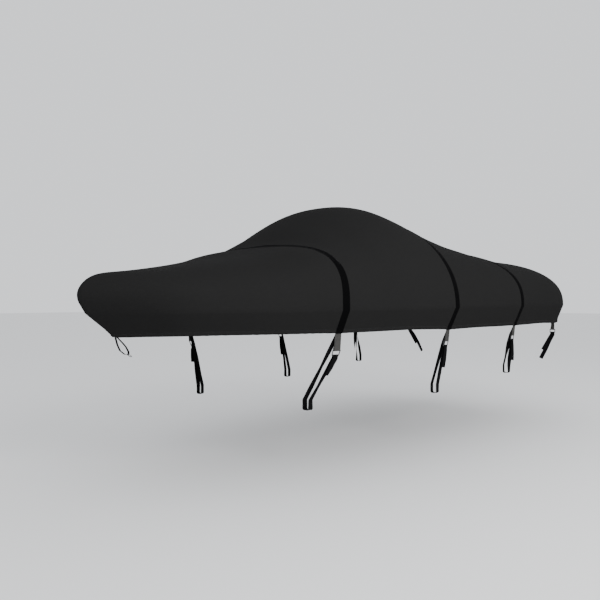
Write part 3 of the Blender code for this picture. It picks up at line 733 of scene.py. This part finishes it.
def hem_frame(station, side):
    """The lowest point of the hem at a station, the way up the skirt, along it and out."""
    low = cloth_point(station + np.array((-0.02, 0.0, 0.02)), -1.0)
    high = cloth_point(station, 0.0)
    low[:, 1] *= -1
    high[1] *= -1
    up = Vector(high - low[1]).normalized()
    along = Vector(low[2] - low[0])
    along = (along - up * along.dot(up)).normalized()
    out = along.cross(up).normalized()
    return [Vector((v.x, v.y * side, v.z)) for v in (Vector(low[1]), up, along, out)]


def path_with_turns(corners, steps=9):
    """A line through corners (point, radius), each corner rounded to its radius."""
    points = [Vector(corners[0][0])]
    for (before, _), (corner, radius), (after, _) in zip(corners, corners[1:], corners[2:]):
        corner = Vector(corner)
        back, on = (Vector(before) - corner).normalized(), (Vector(after) - corner).normalized()
        turn = math.pi - back.angle(on)
        if radius == 0.0 or turn < 0.02:
            points.append(corner)
            continue
        centre = corner + (back + on).normalized() * (radius / math.cos(turn / 2))
        start = corner + back * radius * math.tan(turn / 2) - centre
        axis = back.cross(on).normalized()
        for i in range(steps + 1):
            points.append(centre + Matrix.Rotation(-turn * i / steps, 3, axis) @ start)
    points.append(Vector(corners[-1][0]))
    return points


def spread(points, longest=0.012):
    """The same line with no stretch longer than a given length."""
    line = [points[0]]
    for start, end in zip(points, points[1:]):
        count = max(1, math.ceil((end - start).length / longest))
        line += [start.lerp(end, i / count) for i in range(1, count + 1)]
    return line


def strap_frames(line, across, turns):
    """Points of a strap's middle, the way across it and out of it, and its length up to each point.
    turns gives, for shares of its length, how many degrees the webbing has turned there."""
    steps = [(b - a).length for a, b in zip(line, line[1:])]
    lengths = np.concatenate(([0.0], np.cumsum(steps)))
    degrees = np.interp(lengths / lengths[-1], *zip(*sorted(turns.items())))
    frames = []
    for i, point in enumerate(line):
        heading = (line[min(i + 1, len(line) - 1)] - line[max(i - 1, 0)]).normalized()
        side = (Vector(across) - heading * heading.dot(Vector(across))).normalized()
        side = Matrix.Rotation(math.radians(degrees[i]), 3, heading) @ side
        frames.append((point, side, side.cross(heading).normalized()))
    return frames, lengths


def strap_mesh(name, line, width, across, turns):
    """A strap with soft edges along a line, with UVs in metres across and along it."""
    half, thick, soft = width / 2, WEBBING_THICKNESS / 2, 0.0011
    upper = [(-half, 0.35 * thick), (soft - half, thick), (-0.5 * half, thick), (0.0, thick)]
    upper += [(0.5 * half, thick), (half - soft, thick), (half, 0.35 * thick)]
    section = upper + [(x, -z) for x, z in reversed(upper)]
    frames, lengths = strap_frames(line, across, turns)
    count = len(section)
    points = [p + side * x + out * z for p, side, out in frames for x, z in section]
    faces = []
    for i in range(len(frames) - 1):
        for j in range(count):
            here, beside = i * count + j, i * count + (j + 1) % count
            faces.append((here, beside, beside + count, here + count))
    last = (len(frames) - 1) * count
    faces += [tuple(range(count))[::-1], tuple(range(last, last + count))]
    mesh = bpy.data.meshes.new(name)
    mesh.from_pydata([tuple(p - ORIGIN) for p in points], [], faces)
    layer = mesh.uv_layers.new(name="cut")
    for loop in mesh.loops:
        i, j = divmod(loop.vertex_index, count)
        layer.data[loop.index].uv = (section[j][0], lengths[i])
    solid = bmesh.new()
    solid.from_mesh(mesh)
    bmesh.ops.recalc_face_normals(solid, faces=solid.faces)
    solid.to_mesh(mesh)
    solid.free()
    return mesh, float(lengths[-1])


def strap(name, node, line, width, finish, slot, across, turns=None):
    """A finished strap that takes the place of its node. Without turns it lies flat throughout."""
    mesh, length = strap_mesh(name, line, width, across, turns or {0.0: 0.0, 1.0: 0.0})
    made = fitted(name, node, mesh, finish, slot, WEBBING_SHARP)


def tab_line(foot, up, out, down, drop, inside):
    """A tab's line, the middle of its buckle's upper bar, and the way out of the tab."""
    behind = out * -inside
    away = (out - down * out.dot(down)).normalized()
    front = foot + behind - up * BELOW_HEM + down * drop
    turned = away * -(2 * TURN_RADIUS)
    layer = away * -(WEBBING_THICKNESS + FOLD_ROOM)
    corners = [
        (foot + up * TAB_INSIDE + behind, 0.0),                       # sewn inside the skirt
        (foot + behind - up * BELOW_HEM, 0.010),                      # out below the hem
        (front + down * TURN_RADIUS, TURN_RADIUS),                    # round the bar
        (front + down * TURN_RADIUS + turned, TURN_RADIUS),
        (front - down * 0.012 + turned, 0.006),                       # up behind it
        (front - down * 0.034 + layer, 0.012),                        # back to the front layer
        (front - down * (drop - 0.030) + layer, 0.0),                 # the folded end
    ]
    return spread(path_with_turns(corners), 0.010), front + turned * 0.5, away


tab_grey = webbing_finish("tab_webbing_grey", TAB_COLOUR, TAB_RIB)
places, tab_seams = {}, []
for side, label in ((1, "port"), (-1, "starboard")):
    stations = [(name, rim_station(x)) for name, x in BANDS] + [("stern", STERN_TAB)]
    for name, station in stations:
        at_stern = name == "stern"
        foot, up, along, out = hem_frame(station, side)
        down = Vector((0.0, TAB_LEAN * side, -1.0))
        down = (down - along * along.dot(down)).normalized()
        inside = CLOTH_THICKNESS + AIR + WEBBING_THICKNESS / 2
        inside += STERN_TAB_ROOM if at_stern else TAB_ROOM
        tab_length = TAB_LENGTHS[name]
        line, bar, away = tab_line(foot, up, out, down, tab_length, inside)
        width = STERN_TAB_WIDTH if at_stern else TAB_WIDTH
        names = f"grey_tab_{name}_{label}", f"tab_{name}_{label}"
        strap(*names, line, width, tab_grey, "tab_webbing", along)
        places[name, label] = (foot, up, along, out, down, away, bar)
        face = away * (TURN_RADIUS + WEBBING_THICKNESS / 2 + STITCH_RISE) - ORIGIN
        box = [(a * (width / 2 - BOX_INSET), tab_length * b) for a, b in BOX_CORNERS]
        box = [bar + along * a - down * b + face for a, b in box]
        tab_seams += [[box[i], box[(i + 1) % 4]] for i in range(4)]
tab_stitches = stitch_rows("stitches_tabs", tab_seams, BOX_PITCH)

# ---------------- the buckles
# Moulded black plastic frames with one slot and rounded edges, held in the tabs by their upper
# bars. Those under the bands are narrower at the lower bar, and the two at the stern are smaller.
BUCKLE_COLOUR = (0.012, 0.012, 0.013)
# width, height, thickness, bar, and the lower width as a share of the upper one
BUCKLE = (0.078, 0.054, 0.006, 0.009, 0.88)
BUCKLE_SMALL = (0.068, 0.044, 0.006, 0.009, 1.00)
BUCKLE_CORNERS = (0.006, 0.0022)         # radius outside, and in the slot
BUCKLE_EDGE = ((0.0, 0.45), (0.07, 0.8), (0.2, 1.0), (0.8, 1.0), (0.93, 0.8), (1.0, 0.45))
BUCKLE_SHARP = 40
SEAT = 0.0014                 # from the tab's turn to the bar inside it
TIES = {
    # forward, inward, down, tail, apart, turn halfway, turn beside the buckle
    "fore": (0.072, 0.290, 0.535, 0.170, 0.016, 20.0, 4.0),
    "mid": (0.010, 0.170, 0.510, 0.200, 0.016, -10.0, -15.0),
    "aft": (0.010, 0.120, 0.430, 0.220, 0.016, -40.0, -25.0),
    "stern": (0.000, 0.115, 0.215, 0.370, 0.055, 20.0, 0.0),
}
TURN_WIDTH = 0.060            # room inside the turn at a tie's lowest point


def rounded_loop(width, height, radius, steps=6):
    """Points of a rectangle with rounded corners."""
    points = []
    for x, y, start in ((1, 1, 0), (-1, 1, 90), (-1, -1, 180), (1, -1, 270)):
        for i in range(steps + 1):
            angle = math.radians(start + 90 * i / steps)
            points.append((
                x * (width / 2 - radius) + radius * math.cos(angle),
                y * (height / 2 - radius) + radius * math.sin(angle),
            ))
    return points


def frame_mesh(name, outer, inner, section, taper=1.0):
    """A closed frame between two loops of points. section gives (share inwards, height) round its
    bar, and taper the lower width as a share of the upper one."""
    height = max(y for _, y in outer)
    shaped = bmesh.new()
    rings = []
    for (x0, y0), (x1, y1) in zip(outer, inner):
        ring = []
        for share, z in section:
            x, y = x0 + (x1 - x0) * share, y0 + (y1 - y0) * share
            narrower = 0.5 + 0.5 * taper + (0.5 - 0.5 * taper) * y / height
            ring.append(shaped.verts.new((x * narrower, y, z)))
        rings.append(ring)
    for first, second in zip(rings, rings[1:] + rings[:1]):
        for i in range(len(section)):
            j = (i + 1) % len(section)
            shaped.faces.new((first[i], second[i], second[j], first[j]))
    bmesh.ops.recalc_face_normals(shaped, faces=shaped.faces)
    mesh = bpy.data.meshes.new(name)
    shaped.to_mesh(mesh)
    shaped.free()
    return mesh


def laid_flat(mesh, centre, across, down):
    """Turns a mesh so that its X follows across and its Y points against down, and moves it."""
    x = Vector(across).normalized()
    y = -(Vector(down) - x * x.dot(Vector(down))).normalized()
    turn = Matrix((x, y, x.cross(y))).transposed().to_4x4()
    turn.translation = Vector(centre) - ORIGIN
    mesh.transform(turn)
    return mesh


def buckle_mesh(size):
    """A buckle's frame, lying flat."""
    width, height, thickness, bar, taper = size
    outer = rounded_loop(width, height, BUCKLE_CORNERS[0])
    inner = rounded_loop(width - 1.6 * bar, height - 2 * bar, BUCKLE_CORNERS[1])
    half = thickness / 2
    upper = [(share, rise * half) for share, rise in BUCKLE_EDGE]
    section = [(0.0, -BUCKLE_EDGE[0][1] * half), *upper]
    section += [(share, -z) for share, z in upper[:0:-1]]
    return frame_mesh("buckle", outer, inner, section, taper)


buckle_black = plain_finish("buckle_plastic_black", BUCKLE_COLOUR, roughness=0.42, uneven=0.08)
held_bars = {}
for (name, label), (foot, up, along, out, down, away, bar) in places.items():
    side = 1 if label == "port" else -1
    size, pull = BUCKLE_SMALL, down
    if name != "stern":
        forward, inward, drop = TIES[name][:3]
        way = foot + Vector((-forward, (inward - TURN_WIDTH) * side, -drop)) - bar
        size, pull = BUCKLE, (way - along * along.dot(way)).normalized()
    to_bar = size[1] / 2 - size[3] / 2 + SEAT
    facing = (away - pull * away.dot(pull)).normalized()
    held_bars[name, label] = (pull, facing, bar + pull * (2 * to_bar))
    shape = laid_flat(buckle_mesh(size), bar + pull * to_bar, along, pull)
    names = f"moulded_buckle_{name}_{label}", f"buckle_{name}_{label}"
    fitted(*names, shape, buckle_black, "buckle_plastic", BUCKLE_SHARP)

# ---------------- the ties
# Black webbing. Under the bands each is sewn inside the hem behind its tab, runs down to its lowest
# turn, comes up to the buckle and over its lower bar, and ends in a free tail. The two at the stern
# pass over their buckles' lower bars only, and hang loose with two free ends.
TIE_COLOUR = (0.0060, 0.0060, 0.0064)
TIE_RIB = 0.0063
TIE_WIDTH = 0.046
TURN_HEIGHT = 0.080
BEHIND_TAB = 0.046
SEW_GAP = 0.0011              # between the tab's sewn end and the tie's


def tail_corners(bar, down, away, standing, tail, apart):
    """The free tail of a tie, from its end to the back of the bar that it passes over."""
    front = away * TURN_RADIUS
    aside = away * apart
    return [
        (bar + front + standing * tail + aside, 0.0),                 # the free end
        (bar + front + standing * (tail * 0.62) + aside * 0.95, 0.08),
        (bar + front + standing * (tail * 0.30) + aside * 0.55, 0.05),
        (bar + front * 1.3 + down * 0.022, 0.02),
        (bar + front - down * TURN_RADIUS, TURN_RADIUS),              # over the bar
        (bar - front - down * TURN_RADIUS, TURN_RADIUS),
        (bar - front + down * 0.020, 0.03),                           # down behind it
    ]


def tie_line(name, side, foot, up, out, down, away, lower):
    """A tie's whole line, from the end of its tail."""
    forward, inward, drop, tail, apart = TIES[name][:5]
    if name == "stern":
        end = lower + Vector((-forward, inward * side, -drop))
        corners = tail_corners(lower, down, away, (end - lower).normalized(), tail, apart)
        return spread(path_with_turns(corners + [(end, 0.0)]))
    inner = foot + Vector((-forward, inward * side, -drop))
    outer = inner - Vector((0.0, TURN_WIDTH * side, 0.0))
    below = Vector((0.0, 0.0, -TURN_HEIGHT))
    behind_tab = Vector((-forward * 0.2, max(inward * 0.2, BEHIND_TAB) * side, -0.100))
    sewn = out * -(CLOTH_THICKNESS + AIR + 1.5 * WEBBING_THICKNESS + SEW_GAP)
    corners = tail_corners(lower, down, away, (outer - lower).normalized(), tail, apart)
    corners += [
        (outer, 0.030),
        (outer + below, 0.016),                                       # the lowest turn
        (inner + below, 0.016),
        (inner, 0.030),
        (foot + behind_tab, 0.080),
        (foot + sewn - up * 0.002, 0.012),                            # in under the hem
        (foot + sewn + up * 0.036, 0.0),                              # the sewn end
    ]
    return spread(path_with_turns(corners))


def tie_turns(name, line, side):
    """Turns of a tie's webbing along its length: a twisted tail, and strands on their edges."""
    length = sum((b - a).length for a, b in zip(line, line[1:]))
    _, _, _, tail_length, _, halfway, beside = TIES[name]
    tail = (tail_length + 0.02) / length
    halfway, beside = halfway * side, beside * side
    turns = {0.0: 1.1 * halfway, tail * 0.35: 0.4 * halfway, tail * 0.80: 0.0, tail + 0.05: 0.0}
    if name == "stern":
        turns[1.0] = -1.2 * halfway
        return turns
    lowest = (TURN_WIDTH + 2 * TURN_HEIGHT) / length
    strand = (1 - tail - lowest) / 2
    first, second = tail + strand, tail + strand + lowest
    turns.update({tail + strand * 0.55: -halfway, first: 0.0, second: 0.0})
    turns[second + strand * 0.35] = halfway
    turns.update({1 - (TAB_LENGTHS[name] + 0.090) / length: beside, 0.95: 0.0, 1.0: 0.0})
    return turns


tie_black = webbing_finish("tie_webbing_black", TIE_COLOUR, TIE_RIB)
for (name, label), (foot, up, along, out, down, away, bar) in places.items():
    side = 1 if label == "port" else -1
    line = tie_line(name, side, foot, up, out, *held_bars[name, label])
    turns = tie_turns(name, line, side)
    names = f"black_tie_{name}_{label}", f"tie_{name}_{label}"
    strap(*names, line, TIE_WIDTH, tie_black, "tie_webbing", along, turns)

# ---------------- the loop and ring at the bow
# A loop of narrow black webbing, both ends sewn inside the hem at the bow, carries a plain steel
# wire ring that the bow of the cover is pulled down by.
LOOP_WIDTH = 0.025
LOOP_INSIDE = 0.0110          # from the skirt to the loop's first layer
LOOP_SEWN = 0.040             # how far up inside the skirt its ends are sewn
LOOP_DOWN = ((0.3128, -0.258), (0.3340, -0.302), (0.3760, -0.333))       # x, z of its bends
LOOP_BACK = ((0.4040, -0.312), (0.3830, -0.277), (0.3580, -0.250))
LOOP_BAR = Vector((0.3960, 0.0, -0.3290))      # where it passes round the ring
RING_COLOUR = (0.32, 0.32, 0.33)
RING_SIZE = (0.032, 0.036, 0.005)        # width and height to the wire's middle, and the wire
RING_CORNER = 0.009
RING_DOWN = Vector((0.80, 0.0, -0.60))
RING_SEAT = 0.0048
ACROSS = (0.0, 1.0, 0.0)

low, high = (cloth_point(0.0, height) for height in (-1.0, 0.0))
foot, up = Vector(low), Vector(high - low).normalized()
inward = Vector((up.z, 0.0, -up.x))
first, second = inward * LOOP_INSIDE, inward * (LOOP_INSIDE + WEBBING_THICKNESS + FOLD_ROOM)
corners = [(foot + up * LOOP_SEWN + first, 0.0), (foot + first - up * 0.006, 0.02)]
corners += [(Vector((x, 0.0, z)), 0.03) for x, z in LOOP_DOWN]
corners += [(LOOP_BAR + Vector((0.0075, 0.0, -0.0095)), 0.006)]
corners += [(LOOP_BAR + Vector((0.0100, 0.0, 0.0050)), 0.008)]
corners += [(Vector((x, 0.0, z)), 0.03) for x, z in LOOP_BACK]
corners += [(foot + second - up * 0.012, 0.02), (foot + up * LOOP_SEWN + second, 0.0)]
loop_line = spread(path_with_turns(corners), 0.008)
strap("black_bow_loop", "bow_loop", loop_line, LOOP_WIDTH, tie_black, "tie_webbing", ACROSS)

width, height, wire = RING_SIZE
wire_angles = [math.radians(36 * i) for i in range(10)]
wire_section = [(0.5 - 0.5 * math.cos(a), -0.5 * wire * math.sin(a)) for a in wire_angles]
outer = rounded_loop(width + wire, height + wire, RING_CORNER + wire / 2, 7)
inner = rounded_loop(width - wire, height - wire, RING_CORNER - wire / 2, 7)
ring_at = LOOP_BAR + RING_DOWN * (height / 2 - wire / 2 + RING_SEAT)
ring_shape = laid_flat(frame_mesh("ring", outer, inner, wire_section), ring_at, ACROSS, RING_DOWN)
ring_steel = plain_finish("ring_steel_plain", RING_COLOUR, 0.34, uneven=0.10, metallic=1.0)
fitted("steel_bow_ring", "bow_ring", ring_shape, ring_steel, "ring_steel")
